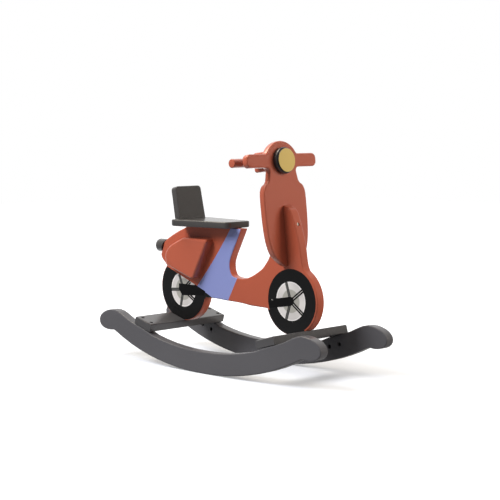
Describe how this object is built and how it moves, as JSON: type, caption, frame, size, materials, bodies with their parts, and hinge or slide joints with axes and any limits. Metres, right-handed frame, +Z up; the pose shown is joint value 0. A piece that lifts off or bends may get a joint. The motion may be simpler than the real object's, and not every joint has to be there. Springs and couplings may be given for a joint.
{
  "type": "rocking scooter",
  "caption": "Wooden toddler's rocking toy in the shape of a motor scooter, with seat, backrest, shield and handlebar on curved rockers.",
  "frame": {"origin": "on the floor, under the middle of the rockers", "axes": "+X points forward, +Y to the rider's left, +Z up"},
  "size_m": [0.7458, 0.25, 0.5426],
  "materials": {
    "charcoal_lacquer": "satin charcoal lacquer on wood",
    "orange_lacquer": "satin burnt-orange lacquer on wood, with printed areas",
    "slate_lacquer": "satin dark grey lacquer on wood",
    "black_lacquer": "semi-gloss black lacquer on turned wood",
    "yellow_lacquer": "satin yellow lacquer on wood",
    "black_steel": "black oxide",
    "zinc_steel": "zinc plated",
    "beech": "bare beech"
  },
  "bodies": {
    "root": {"rocker_right": "charcoal_lacquer", "rocker_left": "charcoal_lacquer", "front_cross_board": "charcoal_lacquer", "rear_cross_board": "charcoal_lacquer", "front_bolt_right_inner": "black_steel", "front_bolt_right_outer": "black_steel", "front_bolt_left_inner": "black_steel", "front_bolt_left_outer": "black_steel", "rear_bolt_right_inner": "black_steel", "rear_bolt_right_outer": "black_steel", "rear_bolt_left_inner": "black_steel", "rear_bolt_left_outer": "black_steel", "front_barrel_nut_right_inner": "zinc_steel", "front_barrel_nut_right_outer": "zinc_steel", "front_barrel_nut_left_inner": "zinc_steel", "front_barrel_nut_left_outer": "zinc_steel", "rear_barrel_nut_right_inner": "zinc_steel", "rear_barrel_nut_right_outer": "zinc_steel", "rear_barrel_nut_left_inner": "zinc_steel", "rear_barrel_nut_left_outer": "zinc_steel", "main_panel": "orange_lacquer", "front_panel_screw_1": "zinc_steel", "front_panel_screw_2": "zinc_steel", "rear_panel_screw_1": "zinc_steel", "rear_panel_screw_2": "zinc_steel", "cowl_right": "orange_lacquer", "cowl_left": "orange_lacquer", "cowl_dowel_1": "beech", "cowl_dowel_2": "beech", "seat": "slate_lacquer", "seat_dowel_1": "beech", "seat_dowel_2": "beech", "seat_dowel_3": "beech", "backrest": "slate_lacquer", "backrest_screw_1": "zinc_steel", "backrest_screw_2": "zinc_steel", "tail_piece": "slate_lacquer", "tail_dowel": "beech", "shield": "orange_lacquer", "fin_screw": "black_steel", "headlight_housing": "black_lacquer", "headlight_lens": "yellow_lacquer", "headlight_dowel": "beech", "handlebar_block": "orange_lacquer", "block_screw_1": "zinc_steel", "block_screw_2": "zinc_steel", "handlebar_dowel": "orange_lacquer"}
  },
  "joints": []
}
